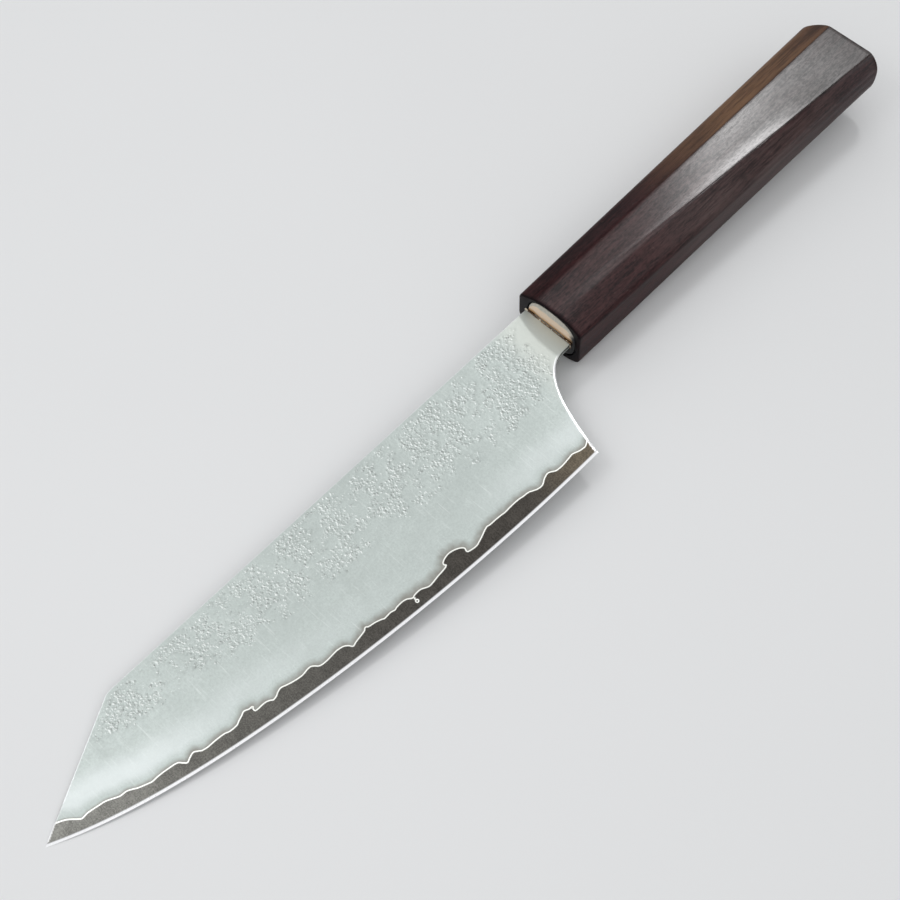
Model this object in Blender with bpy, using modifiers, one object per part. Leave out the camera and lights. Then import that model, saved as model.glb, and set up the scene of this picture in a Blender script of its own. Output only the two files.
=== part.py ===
"""Santoku kitchen knife with a clipped tip, a three-layer blade and an eight-sided wooden handle.

Units are metres. The knife lies on its side: +X runs from the handle to the tip, +Y to the
cutting edge and +Z up, out of the left face of the blade. The pieces are drawn in the knife's
own frame, whose origin is the centre of the handle's front face, and an empty then stands the
knife with the centre of its box over the origin and its handle's lower flat on Z = 0.
"""

import math

import bmesh
import bpy
from mathutils import Vector

# Clearances
FIT_GAP = 0.0003  # between pieces that sit in or against each other
WELD_GAP = 0.00005  # between the forge-welded layers of the blade
MERGE_DISTANCE = 1e-8  # points of one piece nearer than this are one point
SHOULDER_STEP = 1e-6  # length over which the tang steps out to the neck

# Blade outline
SPINE_Y = -0.0079  # spine at the neck
CLIP_X = 0.1526  # corner where the clipped tip leaves the spine
CLIP_Y = -0.0086
CLIP_SOFTNESS = 0.001  # how far each side of the corner is cut off
TIP_X = 0.1872
TIP_Y = 0.0098
HEEL_X = 0.0196
HEEL_Y = 0.0360
BELLY_POWER = 2.0  # the edge leaves the heel like this power of the way to the tip
SWEEP_POWER = 8.0  # and sweeps up to the tip like this one
SWEEP_SHARE = 0.2
NECK_END_X = 0.0030
NECK_EDGE_Y = 0.0086
CHOIL_HEEL_PULL = (0.0175, 0.0265)  # control point that shapes the choil at the heel
CHOIL_NECK_PULL_X = 0.0130
CHOIL_STEPS = 12
CHOIL_HALVINGS = 40  # steps in which the choil's curve is searched for a place

# Blade thickness
SPINE_THICKNESS = 0.0021
CLIP_THICKNESS = 0.0015
NECK_THICKNESS = 0.0020
FLAT_START_X = 0.0100  # the ground flat starts here
FLAT_END_Y = 0.0061  # and the flat turns into the curved bevel here
FLAT_LOSS = 0.00034  # thickness lost across the flat
EDGE_THICKNESS = 0.00024  # behind the cutting bevel
BEVEL_WIDTH = 0.0009
GRIND_POWER = 0.75
BEVEL_ROWS = (0.3, 0.55, 0.78, 1.0)

# Blade layers
CORE_THICKNESS = 0.0007
CLADDING_LIP = 0.00010  # thickness of the cladding where it ends above the edge
CLADDING_END_X = 0.1826
BARE_TIP_STEP = 0.0004
BARE_TIP_SHARES = (0.5, 0.85)  # further sections on the way to the tip
BARE_ROWS = 5  # points down each side of the bare edge
# Height of the weld line above the cutting edge, hand forged and so uneven
WELD_LINE = (
    (0.0185, 0.0041), (0.0252, 0.0047), (0.0290, 0.0044), (0.0310, 0.0041),
    (0.0333, 0.0053), (0.0371, 0.0038), (0.0409, 0.0051), (0.0492, 0.0052),
    (0.0555, 0.0054), (0.0605, 0.0035), (0.0636, 0.0038), (0.0650, 0.0066),
    (0.0695, 0.0064), (0.0712, 0.0046), (0.0735, 0.0038), (0.0784, 0.0034),
    (0.0824, 0.0038), (0.0878, 0.0044), (0.0923, 0.0049), (0.0964, 0.0053),
    (0.1012, 0.0036), (0.1032, 0.0050), (0.1104, 0.0046), (0.1128, 0.0061),
    (0.1165, 0.0057), (0.1222, 0.0060), (0.1250, 0.0052), (0.1296, 0.0051),
    (0.1316, 0.0067), (0.1357, 0.0046), (0.1406, 0.0044), (0.1463, 0.0041),
    (0.1480, 0.0048), (0.1503, 0.0036), (0.1545, 0.0045), (0.1594, 0.0039),
    (0.1652, 0.0048), (0.1707, 0.0053), (0.1760, 0.0041), (0.1792, 0.0054),
)

# Tang
TANG_LENGTH = 0.092
TANG_CENTRE_Y = 0.0006
TANG_WIDTH = 0.0110
TANG_END_WIDTH = 0.0060
TANG_END_THICKNESS = 0.0014
SHOULDER_X = FIT_GAP  # the neck's shoulders stop against the handle

# Handle
HANDLE_LENGTH = 0.1332  # to the top of the domed butt
FRONT_WIDTH = 0.0226
BUTT_WIDTH = 0.0266
FRONT_OFFSET_Y = 0.0003  # the front sits a little towards the cutting edge
FRONT_THICKNESS = 0.0186
BUTT_THICKNESS = 0.0194
FRONT_SPINE_CHAMFER = (0.0065, 0.0043)  # across the width, down the side
BUTT_SPINE_CHAMFER = (0.0082, 0.0054)
FRONT_EDGE_CHAMFER = (0.0092, 0.0023)
BUTT_EDGE_CHAMFER = (0.0028, 0.0063)
OUTER_RIDGES = (0.0014, 0.0023)  # how far the outermost ridges are eased, front and butt
CRISP_RIDGE = 0.0004  # and the ridges of the broad faces where they are crisp
SOFT_RIDGE = 0.0034  # and at the front, where they fade
RIDGE_LIMIT = 0.45  # most of a face that an eased ridge takes
FADE_SHARE = 0.55  # share of the handle, from the front, over which the ridges fade
FRONT_RIDGE_DROP = 0.0008  # the spine-side ridge falls away at the front
FRONT_BULGE = 0.0009  # and the edge-side chamfer swells
RIDGE_POINTS = 4
FRONT_RIM_RADIUS = 0.0005
BUTT_RIM_RADIUS = 0.0012
BUTT_FALL = (0.0025, 0.0026)  # how far the dome falls in half a width and in half a thickness
BUTT_TOP_Y = 0.0034
BUTT_DOME_RINGS = (0.85, 0.6, 0.3)
RIM_STEPS = 4
HANDLE_STEPS = 12

# Mouth of the handle
INSERT_CENTRE_Y = 0.0012
INSERT_WIDTH = 0.0172
INSERT_HEIGHT = 0.0156
INSERT_DEPTH = 0.0060
INSERT_POWER = 2.7  # superellipse, 2 would be an ellipse
INSERT_POINTS = 48
INSERT_EDGE_BEVEL = 0.00025
INSERT_EDGE_ANGLE = 50  # degrees, edges sharper than this are bevelled
BEAD_SIZE = 0.0006
BEDDING_WALL = 0.0012
BEDDING_END = 0.0025  # resin past the end of the tang

CUTTER_REACH = 0.002

# Colour, metallic value and roughness
BLADE_STEEL = ((0.56, 0.60, 0.58), 0.9, 0.42)
CORE_STEEL = ((0.10, 0.10, 0.09), 0.9, 0.45)
DARK_WOOD = ((0.045, 0.024, 0.018), 0.0, 0.32)
PALE_HORN = ((0.52, 0.46, 0.38), 0.0, 0.25)
TAN_RESIN = ((0.42, 0.27, 0.14), 0.0, 0.33)

# Degrees, edges sharper than this are drawn as edges
BLADE_CREASE = 12
HANDLE_CREASE = 18
INSERT_CREASE = 30


def mix(a, b, share):
    return a + (b - a) * share


def spine_y(x):
    return mix(SPINE_Y, CLIP_Y, x / CLIP_X)


def edge_y(x):
    """Cutting edge, level at the heel and sweeping up to the tip."""
    way = min(max((x - HEEL_X) / (TIP_X - HEEL_X), 0.0), 1.0)
    rise = (1 - SWEEP_SHARE) * way**BELLY_POWER + SWEEP_SHARE * way**SWEEP_POWER
    return mix(HEEL_Y, TIP_Y, rise)


def top_y(x):
    """Upper outline: tang, spine, then the straight clip down to the tip."""
    if x < SHOULDER_X:
        return TANG_CENTRE_Y - tang_width(x) / 2
    if x < CLIP_X:
        return spine_y(x)
    return mix(CLIP_Y, TIP_Y, (x - CLIP_X) / (TIP_X - CLIP_X))


def choil_point(t):
    """Point of the choil's curve, from the neck at 0 to the heel at 1."""
    points = (
        Vector((NECK_END_X, NECK_EDGE_Y)),
        Vector((CHOIL_NECK_PULL_X, NECK_EDGE_Y)),
        Vector(CHOIL_HEEL_PULL),
        Vector((HEEL_X, HEEL_Y)),
    )
    weights = ((1 - t) ** 3, 3 * t * (1 - t) ** 2, 3 * t**2 * (1 - t), t**3)
    return sum((p * w for p, w in zip(points, weights)), Vector((0.0, 0.0)))


def choil_y(x):
    low, high = 0.0, 1.0
    for _ in range(CHOIL_HALVINGS):
        middle = (low + high) / 2
        if choil_point(middle).x < x:
            low = middle
        else:
            high = middle
    return choil_point(low).y


def low_y(x):
    """Lower outline: tang, neck, choil, then the cutting edge."""
    if x < SHOULDER_X:
        return TANG_CENTRE_Y + tang_width(x) / 2
    if x <= NECK_END_X:
        return NECK_EDGE_Y
    if x < HEEL_X:
        return choil_y(x)
    return edge_y(x)


def tang_width(x):
    return mix(TANG_WIDTH, TANG_END_WIDTH, max(-x, 0.0) / TANG_LENGTH)


def tang_thickness(x):
    return mix(NECK_THICKNESS, TANG_END_THICKNESS, max(-x, 0.0) / TANG_LENGTH)


def blade_half(x, y):
    """Half of the ground blade's thickness: a true plane by the spine, then a curve to the edge."""
    taper = (SPINE_THICKNESS - CLIP_THICKNESS) / CLIP_X
    lean = FLAT_LOSS / (FLAT_END_Y - SPINE_Y)
    flat = (SPINE_THICKNESS - taper * x - lean * (min(y, FLAT_END_Y) - SPINE_Y)) / 2
    if y <= FLAT_END_Y:
        return flat
    left = max((edge_y(x) - y) / (edge_y(x) - FLAT_END_Y), 0.0)
    return mix(EDGE_THICKNESS / 2, flat, left**GRIND_POWER)


def outer_half(x, y):
    ground = min(max((x - NECK_END_X) / (FLAT_START_X - NECK_END_X), 0.0), 1.0)
    return mix(tang_thickness(x) / 2, blade_half(max(x, 0.0), y), ground)


def core_half(x, y):
    """Half of the hard core's thickness where the cladding covers it."""
    return min(CORE_THICKNESS / 2, outer_half(x, y) - CLADDING_LIP - WELD_GAP)


def weld_y(x):
    """Lower border of the cladding."""
    if x <= WELD_LINE[0][0]:
        return low_y(x)
    if x >= CLADDING_END_X:
        return top_y(x)
    border = [(at, edge_y(at) - height) for at, height in WELD_LINE]
    border.append((CLADDING_END_X, top_y(CLADDING_END_X)))
    for (x0, y0), (x1, y1) in zip(border, border[1:]):
        if x <= x1:
            return min(mix(y0, y1, (x - x0) / (x1 - x0)), low_y(x))


def clad_rows(x):
    """Heights of the rows of points that the core and the cladding share."""
    top, weld = top_y(x), weld_y(x)
    split = min(max(FLAT_END_Y, top), weld)
    return [top, split] + [mix(split, weld, share) for share in BEVEL_ROWS]


def blade_stations():
    """Places along the knife where its section is drawn."""
    tang = [-TANG_LENGTH, -TANG_LENGTH / 2, 0.0, SHOULDER_X - SHOULDER_STEP, SHOULDER_X, NECK_END_X]
    choil = [choil_point(step / CHOIL_STEPS).x for step in range(1, CHOIL_STEPS + 1)]
    corner = [CLIP_X - CLIP_SOFTNESS, CLIP_X + CLIP_SOFTNESS]
    weld = [x for x, _ in WELD_LINE if abs(x - CLIP_X) > CLIP_SOFTNESS]
    tip = [CLADDING_END_X, CLADDING_END_X + BARE_TIP_STEP]
    tip += [mix(CLADDING_END_X, TIP_X, share) for share in BARE_TIP_SHARES]
    return sorted(set(tang + choil + weld + corner + tip))


def core_ring(x):
    """Section of the core: under the cladding, the step up to it, and the bare edge."""
    rows = clad_rows(x)
    weld, low = rows[-1], low_y(x)
    half = [(y, core_half(x, y)) for y in rows]
    if x > CLADDING_END_X:
        step = weld
    else:
        step = min(weld + WELD_GAP, low)
    bare = low - step
    if bare > WELD_GAP:
        edge_half = 0.0 if x >= HEEL_X else outer_half(x, low)
        bevel = min(BEVEL_WIDTH, bare / 2) if x >= HEEL_X else bare / 2
        half += [(step, half[-1][1])]
        half += [(y, outer_half(x, y)) for y in (step, mix(step, low - bevel, 0.5), low - bevel)]
        half += [(low, edge_half)]
    else:
        half += [(low, half[-1][1])] * BARE_ROWS
    upper = [Vector((x, y, z)) for y, z in half]
    lower = [Vector((x, y, -z)) for y, z in reversed(half)]
    return upper + lower


def cladding_ring(x, side):
    rows = clad_rows(x)
    outside = [Vector((x, y, side * outer_half(x, y))) for y in rows]
    inside = [Vector((x, y, side * (core_half(x, y) + WELD_GAP))) for y in reversed(rows)]
    return outside + inside


def handle_corners(share, fade):
    """Corners of the handle at a share of its length, with one more in each edge-side chamfer."""
    width = mix(FRONT_WIDTH, BUTT_WIDTH, share) / 2
    thick = mix(FRONT_THICKNESS, BUTT_THICKNESS, share) / 2
    spine = [mix(a, b, share) for a, b in zip(FRONT_SPINE_CHAMFER, BUTT_SPINE_CHAMFER)]
    edge = [mix(a, b, share) for a, b in zip(FRONT_EDGE_CHAMFER, BUTT_EDGE_CHAMFER)]
    bulge = Vector((edge[1], edge[0])).normalized() * FRONT_BULGE * fade
    upper = [
        Vector((-width, thick - spine[1])),
        Vector((-width + spine[0], thick - FRONT_RIDGE_DROP * fade)),
        Vector((width - edge[0], thick)),
        Vector((width - edge[0] / 2, thick - edge[1] / 2)) + bulge,
        Vector((width, thick - edge[1])),
    ]
    return upper + [Vector((p.x, -p.y)) for p in reversed(upper)]


def handle_section(share, inset):
    """Points across the handle, with its ridges eased, drawn in by inset at the rims."""
    fade = max(1 - share / FADE_SHARE, 0.0) ** 2
    corners = handle_corners(share, fade)
    outer = mix(*OUTER_RIDGES, share)
    inner = mix(CRISP_RIDGE, SOFT_RIDGE, fade)
    easing = (outer, inner, inner, inner, outer)
    points = []
    for index, (corner, ease) in enumerate(zip(corners, easing + easing[::-1])):
        before = corners[index - 1] - corner
        after = corners[(index + 1) % len(corners)] - corner
        start = corner + before.normalized() * min(ease, before.length * RIDGE_LIMIT)
        end = corner + after.normalized() * min(ease, after.length * RIDGE_LIMIT)
        for step in range(RIDGE_POINTS):
            t = step / (RIDGE_POINTS - 1)
            points.append(start * (1 - t) ** 2 + corner * 2 * t * (1 - t) + end * t**2)
    shrink_width = 1 - inset / max(p.x for p in points)
    shrink_thickness = 1 - inset / max(p.y for p in points)
    offset = mix(FRONT_OFFSET_Y, 0.0, share)
    return [(p.x * shrink_width + offset, p.y * shrink_thickness) for p in points]


def butt_x(y, z):
    """Surface of the domed butt."""
    side = BUTT_FALL[0] * ((y - BUTT_TOP_Y) / (BUTT_WIDTH / 2)) ** 2
    flat = BUTT_FALL[1] * (z / (BUTT_THICKNESS / 2)) ** 2
    return -HANDLE_LENGTH + side + flat


def handle_rings():
    turns = [math.pi / 2 * step / RIM_STEPS for step in range(RIM_STEPS + 1)]
    rings = []
    for turn in turns[:-1]:
        x = -FRONT_RIM_RADIUS * (1 - math.cos(turn))
        section = handle_section(0.0, FRONT_RIM_RADIUS * (1 - math.sin(turn)))
        rings.append([Vector((x, y, z)) for y, z in section])
    for step in range(HANDLE_STEPS + 1):
        share = step / HANDLE_STEPS
        section = handle_section(share, 0.0)
        ends = [butt_x(y, z) + BUTT_RIM_RADIUS for y, z in section]
        rings.append([Vector((mix(-FRONT_RIM_RADIUS, end, share), *p)) for p, end in zip(section, ends)])
    for turn in turns[1:]:
        last = handle_section(1.0, BUTT_RIM_RADIUS * (1 - math.cos(turn)))
        back = BUTT_RIM_RADIUS * (1 - math.sin(turn))
        rings.append([Vector((end - BUTT_RIM_RADIUS + back, *p)) for p, end in zip(last, ends)])
    for shrink in BUTT_DOME_RINGS + (0.0,):
        rings.append([Vector((butt_x(y * shrink, z * shrink), y * shrink, z * shrink)) for y, z in last])
    return rings


def oblong(x, low, high, half):
    """Section from low to high across the knife, half as thick on each side of the middle."""
    return [Vector((x, y, z)) for y, z in ((low, half), (high, half), (high, -half), (low, -half))]


def tang_space(start, end, room):
    """Two sections that leave room all round the tang."""
    sections = []
    for x in (start, end):
        reach = tang_width(x) / 2 + room
        half = tang_thickness(x) / 2 + room
        sections.append(oblong(x, TANG_CENTRE_Y - reach, TANG_CENTRE_Y + reach, half))
    return sections


def oval_ring(x, room=0.0):
    """Superellipse section of the mouth insert, with room round it."""
    points = []
    for step in range(INSERT_POINTS):
        angle = 2 * math.pi * step / INSERT_POINTS
        c, s = math.cos(angle), math.sin(angle)
        y = math.copysign(abs(c) ** (2 / INSERT_POWER), c) * (INSERT_WIDTH / 2 + room)
        z = math.copysign(abs(s) ** (2 / INSERT_POWER), s) * (INSERT_HEIGHT / 2 + room)
        points.append(Vector((x, INSERT_CENTRE_Y + y, z)))
    return points


def add_material(item, look):
    color, metallic, roughness = look
    material = bpy.data.materials.new(item.name)
    material.use_nodes = True
    shader = material.node_tree.nodes["Principled BSDF"]
    shader.inputs["Base Color"].default_value = (*color, 1.0)
    shader.inputs["Metallic"].default_value = metallic
    shader.inputs["Roughness"].default_value = roughness
    item.data.materials.append(material)


def loft(name, rings, collection):
    """Closed body through rings of equally many points, with points that meet merged."""
    mesh = bmesh.new()
    made = [[mesh.verts.new(point) for point in ring] for ring in rings]
    count = len(made[0])
    for first, second in zip(made, made[1:]):
        for index in range(count):
            after = (index + 1) % count
            mesh.faces.new((first[index], first[after], second[after], second[index]))
    mesh.faces.new(made[0][::-1])
    mesh.faces.new(made[-1])
    bmesh.ops.remove_doubles(mesh, verts=mesh.verts, dist=MERGE_DISTANCE)
    bmesh.ops.recalc_face_normals(mesh, faces=mesh.faces)
    data = bpy.data.meshes.new(name)
    mesh.to_mesh(data)
    mesh.free()
    item = bpy.data.objects.new(name, data)
    collection.objects.link(item)
    return item


def cut(item, cutter):
    """Takes a cutter out of a piece."""
    cutter.hide_render = True
    cutter.display_type = "WIRE"
    change = item.modifiers.new(cutter.name, "BOOLEAN")
    change.operation = "DIFFERENCE"
    change.solver = "EXACT"
    change.object = cutter


def shade(item, angle):
    item.data.shade_smooth()
    item.data.set_sharp_from_angle(angle=math.radians(angle))


def build_blade(parts):
    stations = blade_stations()
    tip = [Vector((TIP_X, TIP_Y, 0.0))] * len(core_ring(HEEL_X))
    core = loft("core_steel", [core_ring(x) for x in stations] + [tip], parts)
    add_material(core, CORE_STEEL)
    made = [core]
    for name, side in (("cladding_left", 1), ("cladding_right", -1)):
        rings = [cladding_ring(x, side) for x in stations if x <= CLADDING_END_X]
        cladding = loft(name, rings, parts)
        add_material(cladding, BLADE_STEEL)
        made.append(cladding)
    for piece in made:
        shade(piece, BLADE_CREASE)
    return made


def build_handle(parts, cutters):
    handle = loft("handle", handle_rings(), parts)
    shade(handle, HANDLE_CREASE)
    add_material(handle, DARK_WOOD)
    seat = loft(
        "insert_seat",
        [oval_ring(CUTTER_REACH, FIT_GAP), oval_ring(-INSERT_DEPTH - FIT_GAP, FIT_GAP)],
        cutters,
    )
    cut(handle, seat)
    room = 2 * FIT_GAP + BEDDING_WALL
    end = -TANG_LENGTH - BEDDING_END - FIT_GAP
    mortise = loft("mortise", tang_space(-INSERT_DEPTH + CUTTER_REACH, end, room), cutters)
    cut(handle, mortise)
    return [handle, seat, mortise]


def build_insert(parts, cutters):
    insert = loft("mouth_insert", [oval_ring(0.0), oval_ring(-INSERT_DEPTH)], parts)
    back = -INSERT_DEPTH - CUTTER_REACH
    slot = loft("insert_slot", tang_space(CUTTER_REACH, back, FIT_GAP), cutters)
    cut(insert, slot)
    edge = insert.modifiers.new("soft_edge", "BEVEL")
    edge.width = INSERT_EDGE_BEVEL
    edge.segments = 2
    edge.limit_method = "ANGLE"
    edge.angle_limit = math.radians(INSERT_EDGE_ANGLE)
    shade(insert, INSERT_CREASE)
    add_material(insert, PALE_HORN)
    return [insert, slot]


def build_bedding(parts, cutters):
    """Resin that holds the tang in the mortise."""
    front = -INSERT_DEPTH - 2 * FIT_GAP
    back = -TANG_LENGTH - BEDDING_END
    bedding = loft("tang_bedding", tang_space(front, back, FIT_GAP + BEDDING_WALL), parts)
    ends = (front + CUTTER_REACH, -TANG_LENGTH - FIT_GAP)
    space = loft("tang_space", tang_space(*ends, FIT_GAP), cutters)
    cut(bedding, space)
    add_material(bedding, TAN_RESIN)
    return [bedding, space]


def neck_ring(x, room):
    """Section round the neck with room on every side."""
    return oblong(x, SPINE_Y - room, NECK_EDGE_Y + room, NECK_THICKNESS / 2 + room)


def build_bead(parts, cutters):
    """Resin squeezed out round the neck where it meets the handle."""
    start, end = FIT_GAP, FIT_GAP + BEAD_SIZE
    bead = loft(
        "mouth_bead",
        [neck_ring(start, FIT_GAP + BEAD_SIZE), neck_ring(end, FIT_GAP + BEAD_SIZE / 2)],
        parts,
    )
    ends = (start - CUTTER_REACH, end + CUTTER_REACH)
    hole = loft("neck_space", [neck_ring(x, FIT_GAP) for x in ends], cutters)
    cut(bead, hole)
    add_material(bead, TAN_RESIN)
    return [bead, hole]


def main():
    for item in list(bpy.data.objects):
        bpy.data.objects.remove(item, do_unlink=True)
    parts = bpy.data.collections.new("santoku_knife")
    cutters = bpy.data.collections.new("cutters")
    for collection in (parts, cutters):
        bpy.context.scene.collection.children.link(collection)

    made = build_blade(parts)
    made += build_handle(parts, cutters)
    made += build_insert(parts, cutters)
    made += build_bedding(parts, cutters)
    made += build_bead(parts, cutters)

    stand = bpy.data.objects.new("stand", None)
    parts.objects.link(stand)
    stand.location = (
        (HANDLE_LENGTH - TIP_X) / 2,
        (BUTT_WIDTH / 2 - HEEL_Y) / 2,
        BUTT_THICKNESS / 2,
    )
    for item in made:
        item.parent = stand


main()
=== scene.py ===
import math

import bmesh
import bpy
import numpy as np
from mathutils import Matrix, Vector
from mathutils.geometry import delaunay_2d_cdt
from mathutils.kdtree import KDTree


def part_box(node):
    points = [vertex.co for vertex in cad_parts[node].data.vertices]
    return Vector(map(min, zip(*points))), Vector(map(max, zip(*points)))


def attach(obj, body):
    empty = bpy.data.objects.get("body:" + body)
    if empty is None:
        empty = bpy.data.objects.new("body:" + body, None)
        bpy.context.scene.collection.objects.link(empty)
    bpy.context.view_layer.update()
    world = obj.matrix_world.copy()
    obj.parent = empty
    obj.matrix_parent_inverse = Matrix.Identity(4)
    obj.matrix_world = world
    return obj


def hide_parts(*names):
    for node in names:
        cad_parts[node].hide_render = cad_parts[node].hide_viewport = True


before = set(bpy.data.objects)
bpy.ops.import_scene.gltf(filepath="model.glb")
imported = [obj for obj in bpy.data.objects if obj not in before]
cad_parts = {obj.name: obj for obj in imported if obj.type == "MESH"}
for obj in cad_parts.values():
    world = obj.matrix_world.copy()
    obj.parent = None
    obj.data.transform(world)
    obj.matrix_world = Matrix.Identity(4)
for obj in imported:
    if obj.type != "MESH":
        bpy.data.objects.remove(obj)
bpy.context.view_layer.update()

# A kitchen knife lying on its side: laminated blade with a clipped tip, eight-sided wooden handle.
# Shapes are worked out in millimetres from the centre of the handle's front face, X to the tip,
# Y to the cutting edge and Z up out of the left face, and moved into the frame as metres.

handleLow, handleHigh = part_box("handle")
coreLow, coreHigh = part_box("core_steel")
metre = 1000.0
frontCentre = Vector((handleHigh.x, (handleLow.y + handleHigh.y) / 2, (handleLow.z + handleHigh.z) / 2))


class Value:  # a node's output with arithmetic on it
    def __init__(self, board, socket):
        self.board = board
        self.socket = socket

    def __add__(self, other):
        return self.board.calc("ADD", self, other)

    def __sub__(self, other):
        return self.board.calc("SUBTRACT", self, other)

    def __rsub__(self, other):
        return self.board.calc("SUBTRACT", other, self)

    def __mul__(self, other):
        return self.board.calc("MULTIPLY", self, other)

    def __rtruediv__(self, other):
        return self.board.calc("DIVIDE", other, self)

    __radd__ = __add__
    __rmul__ = __mul__

    def ease(self, start, end, low=0.0, high=1.0):
        sockets = {"Value": self, "From Min": start, "From Max": end, "To Min": low, "To Max": high}
        return self.board.add("ShaderNodeMapRange", sockets, {"interpolation_type": "SMOOTHSTEP"})

    def noise(self, size, detail=2.0, roughness=0.5, distortion=0.0, seed=0.0, output=0):
        sockets = {"Vector": self, "W": seed, "Scale": 1.0 / size, "Detail": detail}
        sockets.update({"Roughness": roughness, "Distortion": distortion})
        return self.board.add("ShaderNodeTexNoise", sockets, {"noise_dimensions": "4D"}, output)

    def stretch(self, x, y, z):
        return self.board.add("ShaderNodeMapping", {"Vector": self, "Scale": (x, y, z)})


class Board:  # a node tree that nodes are added to
    def __init__(self, tree, material=None):
        self.tree = tree
        self.material = material

    def add(self, kind, sockets=None, settings=None, output=0):
        node = self.tree.nodes.new(kind)
        for name, setting in (settings or {}).items():
            setattr(node, name, setting)
        for name, value in (sockets or {}).items():
            if isinstance(value, Value):
                self.tree.links.new(value.socket, node.inputs[name])
            else:
                node.inputs[name].default_value = value
        return Value(self, node.outputs[output]) if node.outputs else None

    def calc(self, operation, *values):
        return self.add("ShaderNodeMath", dict(enumerate(values)), {"operation": operation})

    def shift(self, operation, place, step):
        return self.add("ShaderNodeVectorMath", {0: place, 1: step}, {"operation": operation})

    def blend(self, share, first, second):
        return self.add("ShaderNodeMix", {0: share, 6: first, 7: second}, {"data_type": "RGBA"}, 2)

    def paint(self, look, color, *coats):  # each coat has a share, a colour's name and perhaps its brightness
        for share, name, *bright in coats:
            color = self.blend(share, color, rgba(look[name], *bright))
        return color

    def drift(self, cloud, reach):  # a noise's colour as a random step, half of reach each way
        sockets = {0: self.shift("SUBTRACT", cloud, (0.5, 0.5, 0.5)), "Scale": reach}
        return self.add("ShaderNodeVectorMath", sockets, {"operation": "SCALE"})

    def stored(self, name):
        return self.add("ShaderNodeAttribute", None, {"attribute_name": name}, 2)

    def bump(self, height, distance):
        return self.add("ShaderNodeBump", {"Height": height, "Distance": distance, "Strength": 1.0})


def rgba(color, share=1.0):
    return (color[0] * share, color[1] * share, color[2] * share, 1.0)


def startMaterial(name):
    material = bpy.data.materials.new(name)
    material.use_nodes = True
    material.node_tree.nodes.clear()
    board = Board(material.node_tree, material)
    return board, board.add("ShaderNodeTexCoord", None, None, 3)


def endMaterial(board, color, roughness, others):
    sockets = {"Base Color": color, "Roughness": roughness, **others}
    shader = board.add("ShaderNodeBsdfPrincipled", sockets)
    board.add("ShaderNodeOutputMaterial", {"Surface": shader})
    return board.material


def mix(a, b, share):
    return a + (b - a) * share


def ease(start, end, value):
    share = np.clip((value - start) / (end - start), 0.0, 1.0)
    return share * share * (3 - 2 * share)


def along(x, pairs):  # value at x on a line through pairs of x and value
    return np.interp(x, *zip(*pairs))


# Outline of the blade


blade = {
    "spineY": -7.9,  # spine at the neck
    "clipX": 152.6,  # corner where the clipped tip leaves the spine
    "clipY": -8.6,
    "clipCorner": (-2.0, -0.4, 0.2, 1.5),  # start, pulls and end of its rounding, from the corner
    "tipX": (coreHigh.x - frontCentre.x) * metre,
    "tipY": 9.8,
    "heelX": 19.6,
    "heelY": (coreHigh.y - frontCentre.y) * metre,
    "bellyPower": 2.0,  # the edge leaves the heel like this power of the way to the tip
    "sweepPower": 8.0,  # and sweeps up to the tip like this one
    "sweepShare": 0.2,
    "neckEndX": 3.0,
    "neckEdgeY": 8.6,
    "choilPulls": ((13.0, 8.6), (17.5, 26.5)),
    "shoulderX": 0.3,
    "tangLength": (frontCentre.x - coreLow.x) * metre,
    "tangCentreY": 0.6,
    "tangWidth": (11.0, 6.0),
}
thickness = {
    "spine": 2.1,
    "clip": 1.5,
    "tang": (2.0, 1.4),  # at the neck and at the end
    "flatStartX": 10.0,
    "flatEndY": 6.1,
    "flatLoss": 0.34,
    "edge": 0.24,
    "grindPower": 0.75,
    "bevelWidth": 0.9,
    "core": 0.7,
    "claddingLip": 0.1,
    "weldGap": 0.05,
}
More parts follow.
